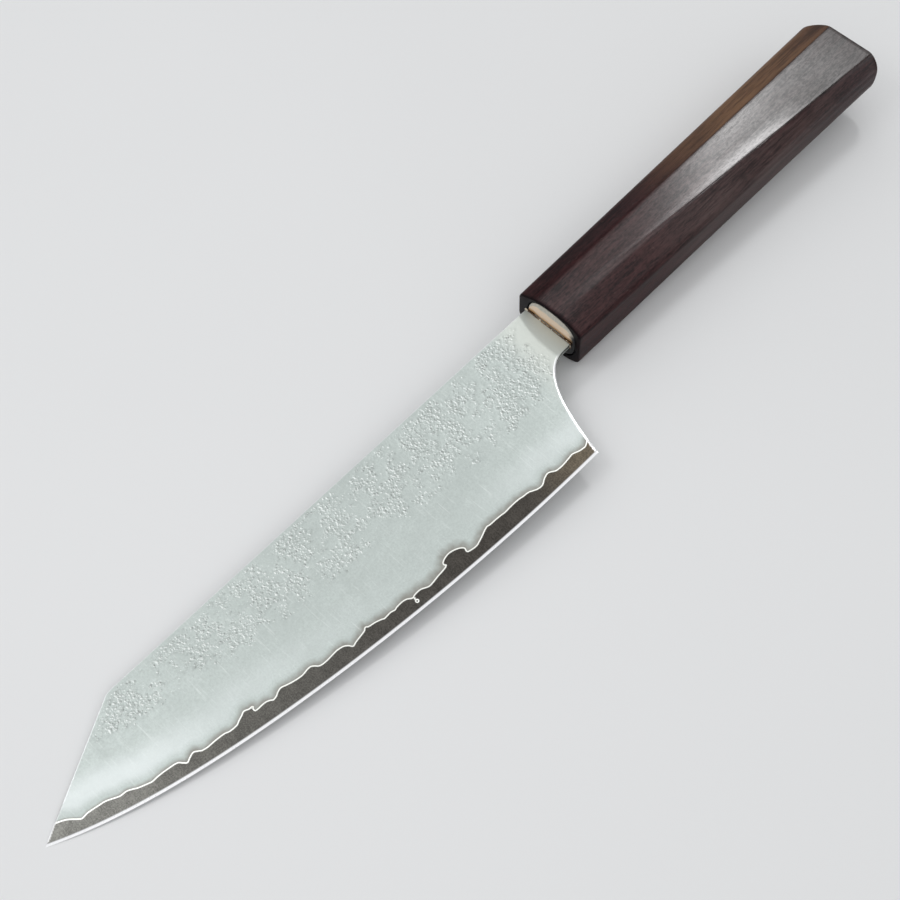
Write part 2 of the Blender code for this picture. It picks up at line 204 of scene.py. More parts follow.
# Upper border of the bare hard steel, hand forged and so uneven, from the choil to the tip
weldLine = (
    (19.07, 31.67), (19.7, 32.05), (20.8, 32.5), (22.7, 32.25), (24.2, 31.7), (25.0, 31.5),
    (26.3, 31.65), (28.8, 31.85), (30.8, 31.75), (31.7, 31.45), (32.7, 30.8), (33.5, 30.55),
    (34.6, 30.8), (35.5, 31.2), (36.5, 31.75), (37.5, 31.9), (38.7, 31.65), (40.0, 31.05),
    (41.0, 30.6), (42.7, 30.4), (44.3, 30.1), (46.7, 30.0), (49.3, 30.05), (50.3, 29.9),
    (52.3, 29.7), (54.5, 29.6), (55.4, 29.4), (56.7, 29.75), (58.3, 30.35), (59.7, 30.8),
    (61.2, 31.15), (63.2, 30.85), (64.0, 30.5), (64.1, 30.0), (63.85, 29.3), (64.3, 28.7),
    (65.2, 28.1), (66.5, 27.6), (67.8, 27.4), (69.2, 27.6), (70.2, 28.0), (70.55, 28.5),
    (70.2, 29.0), (70.7, 29.4), (72.0, 29.6), (74.0, 29.75), (76.0, 30.0), (77.3, 30.05),
    (78.3, 29.7), (79.2, 29.2), (80.2, 28.95), (81.7, 29.0), (82.4, 29.25), (83.0, 29.0),
    (84.0, 28.3), (85.3, 28.0), (87.0, 28.0), (88.0, 28.2), (89.3, 27.85), (91.3, 27.9),
    (92.2, 27.5), (93.7, 26.95), (95.7, 26.5), (96.4, 26.05), (97.2, 26.55), (99.0, 26.85),
    (100.7, 27.1), (101.8, 27.4), (102.3, 27.1), (102.8, 26.35), (103.7, 25.65), (105.0, 25.3),
    (106.0, 25.2), (109.3, 25.3), (111.3, 24.95), (112.3, 24.0), (113.0, 23.5), (114.0, 23.4),
    (116.0, 23.6), (118.3, 23.2), (120.3, 22.6), (121.8, 22.05), (123.0, 22.3), (124.0, 22.8),
    (125.2, 22.95), (126.0, 22.4), (127.3, 21.95), (129.8, 21.85), (130.35, 21.5), (130.3, 20.7),
    (129.95, 20.4), (131.0, 20.3), (132.2, 19.8), (133.3, 20.2), (134.7, 20.7), (135.8, 21.15),
    (138.0, 21.0), (139.3, 20.5), (141.7, 20.15), (144.3, 20.0), (145.9, 19.6), (146.7, 19.0),
    (147.7, 18.4), (149.0, 18.75), (150.3, 19.25), (151.2, 18.5), (152.2, 17.5), (154.7, 16.95),
    (157.3, 16.6), (159.2, 16.55), (160.3, 16.2), (162.7, 15.2), (163.8, 14.5), (165.2, 13.8),
    (167.0, 13.55), (168.7, 12.7), (170.3, 11.95), (172.3, 11.5), (175.0, 11.0), (176.7, 11.05),
    (177.7, 10.35), (178.7, 9.35), (179.7, 8.5), (181.0, 7.75), (181.9, 7.4),
)


def spineY(x):
    return mix(blade["spineY"], blade["clipY"], x / blade["clipX"])


def clipY(x):
    return mix(blade["clipY"], blade["tipY"], (x - blade["clipX"]) / (blade["tipX"] - blade["clipX"]))


def edgeY(x):
    way = np.clip((x - blade["heelX"]) / (blade["tipX"] - blade["heelX"]), 0.0, 1.0)
    sweep = blade["sweepShare"]
    rise = (1 - sweep) * way ** blade["bellyPower"] + sweep * way ** blade["sweepPower"]
    return mix(blade["heelY"], blade["tipY"], rise)


def bezier(points, count):
    t = np.linspace(0, 1, count)[:, None]
    a, b, c, d = (np.array(point, float) for point in points)
    return a * (1 - t) ** 3 + 3 * b * t * (1 - t) ** 2 + 3 * c * t**2 * (1 - t) + d * t**3


def smoothLine(points, steps=8):  # rounded line through all the points
    p = np.array(points, float)
    p = np.vstack([2 * p[0] - p[1], p, 2 * p[-1] - p[-2]])
    t = np.linspace(0, 1, steps, endpoint=False)[:, None]
    runs = []
    for a, b, c, d in zip(p, p[1:], p[2:], p[3:]):
        bend = (a - 2.5 * b + 2 * c - d / 2) * t**2
        runs.append(b + (c - a) * t / 2 + bend + (1.5 * (b - c) + (d - a) / 2) * t**3)
    return np.vstack(runs + [p[-2:-1]])


def spaced(line, step):  # the same line with evenly spaced points
    lengths = np.r_[0, np.cumsum(np.linalg.norm(np.diff(line, axis=0), axis=1))]
    places = np.linspace(0, lengths[-1], max(int(round(lengths[-1] / step)), 1) + 1)
    return np.stack([np.interp(places, lengths, line[:, axis]) for axis in (0, 1)], 1)


def sideways(line):  # unit normals, to the left of the way the line runs
    way = np.gradient(line, axis=0)
    way /= np.linalg.norm(way, axis=1)[:, None]
    return np.stack([-way[:, 1], way[:, 0]], 1)


def straight(*points):
    return np.array(points, float)


def tang(name, sizes, x):  # width or thickness of the tang at x
    return mix(*sizes[name], np.clip(-x, 0, None) / blade["tangLength"])


def tangLine(side):
    x = np.linspace(blade["shoulderX"], -blade["tangLength"], 24)
    return np.stack([x, blade["tangCentreY"] + side * tang("tangWidth", blade, x) / 2], 1)


print("outline: blade")
weld = spaced(smoothLine(weldLine), 0.16)
neckCorner = (blade["neckEndX"], blade["neckEdgeY"])
choil = bezier((neckCorner, *blade["choilPulls"], (blade["heelX"], blade["heelY"])), 400)
weldStart = choil[np.argmin(abs(choil[:, 1] - weld[0, 1]))]
weld[0] = weldStart
weld[-1, 1] = clipY(weld[-1, 0])
begin, pullIn, pullOut, end = (blade["clipX"] + place for place in blade["clipCorner"])
topLine = straight((blade["shoulderX"], spineY(blade["shoulderX"])), (begin, spineY(begin)))
pulls = ((pullIn, blade["clipY"]), (pullOut, blade["clipY"]))
clipLine = np.vstack([bezier((topLine[-1], *pulls, (end, clipY(end))), 9), weld[-1:]])
neckLine = straight(neckCorner, (blade["shoulderX"], blade["neckEdgeY"]))
edgeX = np.linspace(blade["tipX"], blade["heelX"], 240)
edgeLine = np.stack([edgeX, edgeY(edgeX)], 1)


def joined(*lines):  # loop without repeated points, with its inside on the left
    loop = np.vstack(lines)
    loop = loop[np.linalg.norm(loop - np.roll(loop, 1, 0), axis=1) > 1e-4]
    area = np.sum(loop[:, 0] * np.roll(loop[:, 1], -1) - np.roll(loop[:, 0], -1) * loop[:, 1])
    return loop if area > 0 else loop[::-1]


def closed(loop):
    return np.vstack([loop, loop[:1]])


def insideLoop(points, loop):
    inside = np.zeros(len(points), bool)
    x, y = points.T
    for (ax, ay), (bx, by) in zip(loop, np.roll(loop, -1, 0)):
        if ay != by:
            crosses = (ay > y) != (by > y)
            inside ^= crosses & (x < ax + (y - ay) * (bx - ax) / (by - ay))
    return inside


def distanceTo(points, line):
    tree = KDTree(len(line))
    for index, (x, y) in enumerate(line):
        tree.insert((x, y, 0.0), index)
    tree.balance()
    near = np.array([tree.find((x, y, 0.0))[1] for x, y in points])
    best = np.full(len(points), np.inf)
    for step in (-1, 0):
        first = np.clip(near + step, 0, len(line) - 2)
        a, b = line[first], line[first + 1]
        way = b - a
        share = ((points - a) * way).sum(1) / np.maximum((way**2).sum(1), 1e-12)
        foot = a + way * np.clip(share, 0, 1)[:, None]
        best = np.minimum(best, np.linalg.norm(points - foot, axis=1))
    return best


def within(points, loop, away):  # the points inside a loop and this far from it
    points = points[insideLoop(points, loop)]
    return points[distanceTo(points, closed(loop)) > away]


gridSizes = {
    "farCorner": (190, 37),  # past the tip and the edge
    "hidden": 3.0,  # wide grid for faces that can't be seen
    "hiddenClear": 0.8,  # and how far its points stay from an outline
}


def hexGrid(low, step, high=gridSizes["farCorner"]):
    x, y = np.meshgrid(np.arange(low[0], high[0], step), np.arange(low[1], high[1], step * math.sqrt(0.75)))
    x[1::2] += step / 2
    return np.stack([x.ravel(), y.ravel()], 1)


def hiddenFill(loop):
    grid = hexGrid((-blade["tangLength"], -9), gridSizes["hidden"])
    return within(grid, loop, gridSizes["hiddenClear"])


def sheet(loop, lines, fill):  # triangles that fill a loop and keep the lines
    points = [Vector(point) for point in np.vstack([loop, *lines, fill])]
    edges = [(index, (index + 1) % len(loop)) for index in range(len(loop))]
    start = len(loop)
    for line in lines:
        edges += [(start + index, start + index + 1) for index in range(len(line) - 1)]
        start += len(line)
    made = delaunay_2d_cdt(points, edges, [], 1, 1e-5)  # 1 keeps what the loop encloses
    flat = np.array([point[:] for point in made[0]], float)
    faces = np.array(made[2])
    corners = flat[faces]
    cross = np.cross(corners[:, 1] - corners[:, 0], corners[:, 2] - corners[:, 0])
    faces[cross < 0] = faces[cross < 0][:, ::-1]
    order = {}
    for index, sources in enumerate(made[3]):
        for source in sources:
            order[source] = index
    return flat, faces, [order[index] for index in range(len(loop))]


# Thickness of the blade


def outerHalf(x, y):
    size = thickness
    taper = (size["spine"] - size["clip"]) / blade["clipX"]
    lean = size["flatLoss"] / (size["flatEndY"] - blade["spineY"])
    across = np.minimum(y, size["flatEndY"]) - blade["spineY"]
    flat = (size["spine"] - taper * np.clip(x, 0, None) - lean * across) / 2
    left = np.clip((edgeY(x) - y) / (edgeY(x) - size["flatEndY"]), 0, 1)
    ground = np.where(y <= size["flatEndY"], flat, mix(size["edge"] / 2, flat, left ** size["grindPower"]))
    share = np.clip((x - blade["neckEndX"]) / (size["flatStartX"] - blade["neckEndX"]), 0, 1)
    return mix(tang("tang", size, x) / 2, ground, share)


def coreHalf(x, y):
    size = thickness
    return np.minimum(size["core"] / 2, outerHalf(x, y) - size["claddingLip"] - size["weldGap"])


def rounded(distance, radius, depth):  # how far a quarter round at a border falls away
    share = np.clip(1 - distance / radius, 0, 1)
    return depth * (1 - np.sqrt(1 - share**2))


def makeObject(name, points, faces, attributes, edges=()):
    mesh = bpy.data.meshes.new(name)
    places = (np.asarray(points) / metre + np.array(frontCentre)).tolist()
    mesh.from_pydata(places, edges, [list(map(int, face)) for face in faces])
    for key, values in attributes.items():
        mesh.attributes.new(key, "FLOAT", "POINT").data.foreach_set("value", np.asarray(values, np.float32))
    mesh.validate()
    mesh.shade_smooth()
    return addObject(name, mesh)


def addObject(name, data):
    item = bpy.data.objects.new(name, data)
    bpy.context.scene.collection.objects.link(item)
    return item


def outward(item):  # joins what meets and turns the faces outwards
    clean = bmesh.new()
    clean.from_mesh(item.data)
    bmesh.ops.remove_doubles(clean, verts=clean.verts, dist=1e-8)
    bmesh.ops.recalc_face_normals(clean, faces=clean.faces)
    clean.to_mesh(item.data)
    clean.free()


def sharpen(item, degrees):
    item.data.set_sharp_from_angle(angle=math.radians(degrees))


def closeUp(item, degrees, material):  # for a piece without a geometry tree
    outward(item)
    sharpen(item, degrees)
    item.data.materials.append(material)


def seat(item, node):  # the piece takes the place of a node
    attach(item, "root")
    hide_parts(node)


def bakeModifier(item):  # leaves a plain mesh behind
    bpy.context.view_layer.update()
    shown = item.evaluated_get(bpy.context.evaluated_depsgraph_get())
    old = item.data
    item.data = bpy.data.meshes.new_from_object(shown)
    item.modifiers.clear()
    item.data.name = item.name
    bpy.data.meshes.remove(old)


def dress(item, treeName, values, grow, material):  # runs a geometry tree on an object and keeps the result
    tree = bpy.data.node_groups.new(treeName, "GeometryNodeTree")
    for way in ("INPUT", "OUTPUT"):
        tree.interface.new_socket(name="Geometry", in_out=way, socket_type="NodeSocketGeometry")
    names = {
        name: tree.interface.new_socket(name=name, in_out="INPUT", socket_type="NodeSocketFloat").identifier
        for name in values
    }
    board = Board(tree)
    start = tree.nodes.new("NodeGroupInput")
    grown = grow(board, {name: Value(board, start.outputs[name]) for name in ("Geometry", *values)})
    solid = board.add("GeometryNodeRealizeInstances", {"Geometry": grown})
    coated = board.add("GeometryNodeSetMaterial", {"Geometry": solid, "Material": material})
    end = tree.nodes.new("NodeGroupOutput")
    tree.links.new(coated.socket, end.inputs[0])
    change = item.modifiers.new(treeName, "NODES")
    change.node_group = tree
    for name, value in values.items():
        change[names[name]] = value
    bakeModifier(item)


# Cladding: soft outer steel with a pear skin left from the forge


claddingLook = {
    "steel": (0.515, 0.568, 0.550),
    "shade": (0.25, 0.24, 0.215),  # ground darker just above the weld line
    "shadeReach": ((20, 2.0), (45, 2.4), (75, 3.4), (98, 2.5), (150, 2.1), (165, 1.2), (185, 0.8)),
    "haze": (0.72, 0.765, 0.765),  # and brighter above that
    "hazeAlong": (
        (20, 0.5), (35, 0.4), (60, 0.05), (90, 0.1), (110, 0.2), (140, 0.4), (160, 0.8), (175, 0.75),
    ),
    # paler, warmer steel near the handle: painted bounce light from the brown handle
    "neck": (0.60, 0.635, 0.60),
    "scale": (0.20, 0.21, 0.20),  # dark colour of the pits: painted shade on the flank away from the key lamp, and darker in the deepest pits
    "worn": (0.90, 0.93, 0.92),  # painted highlight on the pit flank towards the key lamp, and the colour of bright scratches
    "polish": (0.93, 0.95, 0.96),
    "weldGlint": (0.93, 0.94, 0.90),
    "weldWidth": 0.30,  # mm
    "roughness": 0.50,
    "polishRoughness": 0.3,
    "outlineStep": 0.22,
    "borderRows": (0.12, 0.26, 0.42, 0.56, 0.70),  # rows of points this far inside the outline
    "fineGrid": 0.22,
    "smoothGrid": 0.6,
    "gridClear": 0.95,  # these two end this far inside the outline
    "tangGrid": 2.0,
    "skinMargin": 2.5,  # the fine grid goes on this far below the skin
    "spineRound": 0.14,
    "choilRound": 0.8,
}
pearSkin = {
    "Depth": 0.00012,
    "Pit Size": 0.00115,
    "Lump Size": 0.0009,
    "Patch Size": 0.0034,
    "Flank": 0.00019,
    "Warp": 0.0011,
    "Seed": 3.0,
}
# Where the pear skin is thick: x, y and the reach of each patch along and across the blade
skinPatches = (
    (153, -4, 7, 4), (147, 0, 6, 3.5), (158, -1, 3, 2), (134, -4, 5, 5), (127, 0, 7, 6),
    (119, 4, 7, 5), (115, -5, 6, 4), (108, 1, 6, 8), (100, 4, 5, 5), (93, -3, 6, 5),
    (88, 8, 6, 4), (81, -2, 5, 6), (69, -2, 6, 6), (68, 8, 4, 3), (61, 4, 5, 5),
    (51, 1, 5, 8), (43, 4, 5, 7), (42, -5, 5, 3), (35, 0, 4, 5), (27, 12, 6, 3.5),
    (21, 2, 5, 7), (18, 10, 5, 4), (16, -4, 5, 4), (12, 5, 3, 4),
)
skinBorder = ((0, 15), (30, 15.5), (55, 14), (75, 13), (95, 11), (115, 9), (140, 4.5), (160, 1), (165, -3))
otherFace = {"patchShift": 5.0, "Seed": 11.0}  # what makes the right face's skin its own


def skinShare(points, shiftX):
    x, y = points.T
    thick = np.zeros(len(points))
    for px, py, reachX, reachY in skinPatches:
        px += shiftX
        thick = np.maximum(thick, np.exp(-(((x - px) / reachX) ** 2 + ((y - py) / reachY) ** 2)))
    inBand = 1 - ease(-1.5, 2.5, y - along(x, skinBorder))
    return inBand * (0.52 + 0.48 * thick) * ease(5.5, 10.0, x)


def growSkin(board, inputs):
    place = board.add("GeometryNodeInputPosition")
    stored = {"data_type": "FLOAT"}
    skin = board.add("GeometryNodeInputNamedAttribute", {"Name": "skin"}, stored)
    side = board.add("GeometryNodeInputNamedAttribute", {"Name": "side"}, stored)
    seed, lump, pit = inputs["Seed"], inputs["Lump Size"], inputs["Pit Size"]
    patches = place.noise(inputs["Patch Size"], 3.0, 0.65, 0.3, seed)
    thick = (patches + skin * 0.36).ease(0.55, 0.92) * skin.ease(0.01, 0.08)

    def shifted(x, y):
        return board.shift("ADD", place, board.add("ShaderNodeCombineXYZ", {"X": x, "Y": y}))

    def pits(spot, size):  # each pit is there or not, by chance
        cell = {"Vector": spot, "Scale": 1.0 / size}
        near = board.add("ShaderNodeTexVoronoi", cell, {"voronoi_dimensions": "2D"})
        chance = Value(board, near.socket.node.outputs[1])
        there = (thick * 1.12 - chance).ease(-0.05, 0.35)
        return near.ease(chance.ease(0.1, 0.7, 0.56, 0.3), 0.05) * there

    def relief(x, y):
        spot = shifted(seed * 0.01 + x, y)
        swirl = spot.noise(lump * 1.3, 2.0, 0.6, output=1)
        spot = board.shift("ADD", spot, board.drift(swirl, inputs["Warp"]))
        lumps = shifted(x, y).noise(lump, 3.0, 0.6, 0.6, seed)
        worn = board.calc("MAXIMUM", pits(spot, pit), pits(spot, pit * 0.6) * 0.8)
        worn = worn * thick.ease(0.15, 0.9, 0.4, 0.85)
        return worn + lumps.ease(0.36, 0.64) * thick.ease(0.1, 0.9) * 0.85

    depth = relief(0.0, 0.0)
    # slope towards the key lamp's side, which paints shade and highlight on the pit flanks
    slope = depth - relief(inputs["Flank"] * -1.0, inputs["Flank"] * -0.3)
    marked = inputs["Geometry"]
    for name, value in (("pit", depth), ("slope", slope)):
        sockets = {"Geometry": marked, "Name": name, "Value": value}
        marked = board.add("GeometryNodeStoreNamedAttribute", sockets, {**stored, "domain": "POINT"})
    sink = board.add("ShaderNodeCombineXYZ", {"Z": 0.0 - depth * side * inputs["Depth"]})
    return board.add("GeometryNodeSetPosition", {"Geometry": marked, "Offset": sink})


def claddingSteel():
    look = claddingLook
    board, place = startMaterial("claddingSteel")
    pit, slope, shade = board.stored("pit"), board.stored("slope"), board.stored("shade")
    fromWeld = board.stored("fromWeld")  # mm above the weld line
    rim = board.stored("rim")  # 1 on polished borders
    cloud = place.noise(0.014, 3.0, 0.6)
    grain = place.noise(0.0005, 3.0, 0.65)
    scratch = place.stretch(1.0, 0.06, 1.0).noise(0.0005, 2.0, 0.6)
    smear = place.stretch(0.5, 1.0, 1.0).noise(0.0035, 4.0, 0.7, 0.5, 3.0)
    edgeCloud = place.noise(0.0028, 3.0, 0.7)
    hazy = fromWeld.ease(1.0, 3.8) * fromWeld.ease(11.5, 5.0) * cloud.ease(0.2, 0.7, 0.8, 1.0)
    dark = (shade + edgeCloud.ease(0.3, 0.7, -0.12, 0.16) + (grain - 0.5) * 0.3).ease(1.0, 0.0)
    glint = fromWeld.ease(look["weldWidth"] + 0.06, look["weldWidth"] - 0.06)
    tone = (cloud * 0.5 + smear * 0.5).ease(0.36, 0.64)
    color = board.paint(
        look,
        rgba(look["steel"], 0.95),
        (tone, "steel", 1.06),
        (grain.ease(0.3, 0.75) * 0.7, "steel", 0.84),
        (scratch.ease(0.55, 0.85) * 0.35, "worn"),
        # painted bounce light from the handle, near the neck
        (board.stored("neck"), "neck"),
        # darker in the deepest pits, then painted shade and painted highlight on the pit flanks by their
        # slope towards the key lamp
        (pit.ease(0.3, 1.2) * 0.15, "scale"),
        (slope.ease(0.16, 0.66) * 0.64, "scale"),
        (slope.ease(-0.08, -0.5) * 0.78, "worn"),
        (hazy * board.stored("haze"), "haze"),
        (dark * 0.9, "shade"),
        (glint, "weldGlint"),
        (rim, "polish"),
    )
    smoother = rim * (look["roughness"] - look["polishRoughness"])
    roughness = look["roughness"] + (grain - 0.5) * 0.12 - glint * 0.1 - smoother
    height = place.noise(0.0006, 2.0, 0.6, 0.6, 4.0) * board.stored("skin") * 0.8
    height = (height + grain * 0.3 + scratch * 0.12) * (1.0 - rim)
    return endMaterial(board, color, roughness, {"Normal": board.bump(height, 0.00007), "Metallic": 0.92})


def makeCladding(name, node, side, steel):
    look = claddingLook
    shoulder = blade["shoulderX"]
    top, clipPart, neck = (spaced(line, look["outlineStep"]) for line in (topLine, clipLine, neckLine))
    choilPart = spaced(choil[choil[:, 1] <= weldStart[1] + 1e-6], look["outlineStep"])
    loop = joined(top, clipPart, weld[::-1], choilPart[::-1], neck, tangLine(1), tangLine(-1)[::-1])
    fine, smooth = (hexGrid((shoulder, -9), look[grid]) for grid in ("fineGrid", "smoothGrid"))
    fine = fine[fine[:, 1] < along(fine[:, 0], skinBorder) + look["skinMargin"]]
    smooth = smooth[smooth[:, 1] >= along(smooth[:, 0], skinBorder) + look["skinMargin"]]
    fill = [within(np.vstack([fine, smooth]), loop, look["gridClear"])]
    outline = closed(loop)
    inward = sideways(outline)
    for offset in look["borderRows"]:
        row = (outline + inward * offset)[outline[:, 0] > shoulder + 0.2]
        fill.append(within(row, loop, offset * 0.9))
    tangGrid = hexGrid((-blade["tangLength"], -5), look["tangGrid"], (0, 6))
    fill.append(within(tangGrid, loop, gridSizes["hiddenClear"]))
    outer, outerFaces, outerRing = sheet(loop, [], np.vstack(fill))
    inner, innerFaces, innerRing = sheet(loop, [], hiddenFill(loop))

    x, y = outer.T
    visible = x > shoulder
    fromTop = distanceTo(outer, np.vstack([top, clipPart]))
    fromChoil = distanceTo(outer, np.vstack([neck[::-1], choilPart]))
    fromWeld = np.minimum(distanceTo(outer, weld), 20.0)
    wall = outerHalf(x, y) - coreHalf(x, y) - thickness["weldGap"]
    choilFade = ease(4.0, 9.0, x)
    drop = rounded(fromTop, look["spineRound"], np.minimum(0.3, 0.7 * wall))
    drop = np.maximum(drop, rounded(fromChoil, look["choilRound"], 0.8 * wall) * choilFade)
    z = outerHalf(x, y) - np.where(visible, drop, 0.0)
    innerZ = coreHalf(inner[:, 0], inner[:, 1]) + thickness["weldGap"]
    rim = ease(0.3, 0.16, fromTop) * mix(0.5, 0.85, ease(148, 153, x))  # brightest along the clip
    rim = np.maximum(rim, ease(0.72, 0.56, fromChoil) * choilFade) * visible
    skin = skinShare(outer, 0.0 if side > 0 else otherFace["patchShift"])
    skin = skin * ease(0.4, 0.9, np.minimum(fromTop, fromChoil)) * visible

    points = np.vstack([np.column_stack([outer, side * z]), np.column_stack([inner, side * innerZ])])
    faces = [tuple(face) for face in outerFaces]
    faces += [tuple(face[::-1] + len(outer)) for face in innerFaces]
    border = list(zip(outerRing, np.array(innerRing) + len(outer)))
    for (a, c), (b, d) in zip(border, border[1:] + border[:1]):
        faces.append((b, a, c, d))
    if side < 0:
        faces = [face[::-1] for face in faces]
    values = {  # on the outer face, and on the one against the core
        "skin": (skin, 0.0),
        "fromWeld": (fromWeld, 20.0),
        "rim": (rim, 0.0),
        # share of painted bounce light near the handle
        "neck": (ease(17.0, 7.0, x), 0.0),
        "shade": (fromWeld / along(x, look["shadeReach"]), 9.0),
        "haze": (along(x, look["hazeAlong"]), 0.0),
        "side": (np.full(len(outer), float(side)), side),
    }
    attributes = {key: np.r_[seen, np.full(len(inner), hidden)] for key, (seen, hidden) in values.items()}
    item = makeObject(name, points, faces, attributes)
    sharpen(item, 40)
    sizes = dict(pearSkin)
    sizes["Seed"] += 0.0 if side > 0 else otherFace["Seed"]
    dress(item, "pearSkin" + name, sizes, growSkin, steel)
    seat(item, node)
    print("blade:", name, len(item.data.polygons), "faces")


# Core: the hard middle layer, bare and dark along the edge


coreLook = {
    "steel": (0.058, 0.053, 0.047),
    "heelSteel": (0.125, 0.105, 0.078),
    # paler towards the tip: painted reflection of the light that brightens the tip
    "tipSteel": (0.205, 0.205, 0.19),
    "tipShare": ((60, 0.0), (90, 0.1), (120, 0.3), (150, 0.43), (170, 0.82), (185, 0.95)),
    "polish": (0.95, 0.96, 0.98),
    "weldGlint": (0.93, 0.94, 0.90),
    "roughness": 0.42,
    "bevelRoughness": 0.3,
    "grid": 0.4,
    "gridClear": 0.24,
    "bead": (82.35, 30.45),  # a drop of cladding that ran below the weld line
    "beadRadius": 0.42,
}


def coreSteel():
    look = coreLook
    board, place = startMaterial("coreSteel")
    fromEdge = board.stored("fromEdge")  # mm above the cutting edge
    drop = board.stored("drop")  # mm from the drop's centre
    toTip, toHeel = board.stored("toTip"), board.stored("toHeel")
    grain = place.noise(0.0004, 3.0, 0.75)
    cloud = place.noise(0.003, 2.0, 0.6)
    scratch = place.stretch(1.0, 0.05, 1.0).noise(0.0004, 2.0, 0.6)
    tones = []
    for share in (0.68, 1.42):
        # painted reflection towards the tip, and a warmer tone at the heel
        coats = (toTip, "tipSteel", share), (toHeel, "heelSteel", share)
        tones.append(board.paint(look, rgba(look["steel"], share), *coats))
    speckle = (grain + (cloud - 0.5) * 0.3 + (scratch - 0.5) * 0.25).ease(0.32, 0.70)
    ring = board.calc("ABSOLUTE", drop - look["beadRadius"])
    glint = board.calc("MAXIMUM", board.stored("fromWeld").ease(0.12, 0.02), ring.ease(0.2, 0.1))
    glint = board.calc("MAXIMUM", glint, board.stored("stem"))
    bevel = fromEdge.ease(thickness["bevelWidth"] + 0.05, thickness["bevelWidth"] * 0.55)
    polish = board.calc("MAXIMUM", bevel, board.stored("rim"))
    color = board.blend(speckle, tones[0], tones[1])
    color = board.paint(look, color, (glint, "weldGlint"), (polish, "polish"))
    smoother = polish * (look["roughness"] - look["bevelRoughness"])
    roughness = look["roughness"] + (grain - 0.5) * 0.25 - smoother
    bump = board.bump((grain * 0.5 + scratch * 0.4) * (1.0 - polish), 0.00003)
    return endMaterial(board, color, roughness, {"Normal": bump, "Metallic": 0.92})


def makeCore(steel):
    look, size = coreLook, thickness
    clipPart, tipPart = spaced(clipLine, 1.0), spaced(straight(weld[-1], (blade["tipX"], blade["tipY"])), 0.2)
    split = np.argmin(np.linalg.norm(choil - weldStart, axis=1))
    lowChoil, highChoil = spaced(choil[split:], 0.2)[::-1], spaced(choil[: split + 1], 0.5)[::-1]
    edge = spaced(edgeLine, 0.3)
    back = (neckLine, tangLine(1), tangLine(-1)[::-1])
    loop = joined(spaced(topLine, 1.0), clipPart, tipPart, edge, lowChoil, highChoil, *back)
    below = weld + sideways(weld) * size["weldGap"]
    bevelX = np.linspace(blade["heelX"] - 0.6, blade["tipX"] - 0.8, 500)
    bevelLine = np.stack([bevelX, edgeY(bevelX) - size["bevelWidth"]], 1)
    bareLoop = np.vstack([weld, tipPart[1:], edge, lowChoil])
    fine = hexGrid((16, 0), look["grid"])
    fine = fine[insideLoop(fine, bareLoop)]
    for line in (weld, bevelLine, closed(loop)):
        fine = fine[distanceTo(fine, line) > look["gridClear"]]
    coarse = hiddenFill(loop)
    coarse = coarse[~insideLoop(coarse, bareLoop) & (distanceTo(coarse, weld) > gridSizes["hiddenClear"])]
    flat, faces, _ = sheet(loop, [weld, below, bevelLine], np.vstack([fine, coarse]))

    x, y = flat.T
    fromWeld, fromChoil = distanceTo(flat, weld), distanceTo(flat, choil)
    fromTip = distanceTo(flat, np.vstack([clipPart, tipPart]))
    fromEdge = np.where(x > 10, edgeY(x) - y, 20.0)
    onBorder = distanceTo(flat, np.vstack([tipPart, edge, lowChoil])) < 1e-3
    bare = insideLoop(flat, bareLoop) | onBorder
    share = np.clip(fromWeld / size["weldGap"], 0, 1) * bare
    z = mix(coreHalf(x, y), outerHalf(x, y), share)
    fall = rounded(fromChoil, 0.7, 0.6 * z) * share
    z = np.maximum(z * np.clip(fromEdge / size["bevelWidth"], 0, 1) - fall, 0.0)
    beadX, beadY = look["bead"]
    drop = np.hypot(x - beadX, y - beadY)
    stem = ease(0.26, 0.14, abs(x - beadX)) * ease(beadY - 0.35, beadY - 0.5, y) * bare
    values = {
        "fromEdge": fromEdge,
        "fromWeld": np.where(bare, fromWeld, 20.0),
        "rim": np.maximum(ease(0.7, 0.55, fromChoil), ease(0.13, 0.05, fromTip) * 0.6) * bare,
        "toTip": along(x, look["tipShare"]),
        "toHeel": ease(44, 22, x),
    }
    attributes = {key: np.r_[value, value] for key, value in values.items()}
    attributes["drop"] = np.r_[drop, drop + 20.0]  # the right face has no drop
    attributes["stem"] = np.r_[stem, stem * 0.0]
    points = np.vstack([np.column_stack([flat, z]), np.column_stack([flat, -z])])
    borders = {pair: True for a, b, c in faces for pair in ((a, b), (b, c), (c, a))}
    solid = [tuple(face) for face in faces] + [tuple(face[::-1] + len(flat)) for face in faces]
    solid += [(b, a, a + len(flat), b + len(flat)) for a, b in borders if (b, a) not in borders]
    item = makeObject("coreSteel", points, solid, attributes)
    closeUp(item, 5, steel)
    seat(item, "core_steel")
    print("blade: core", len(item.data.polygons), "faces")


# Handle: eight-sided dark wood whose ridges fade towards the blade


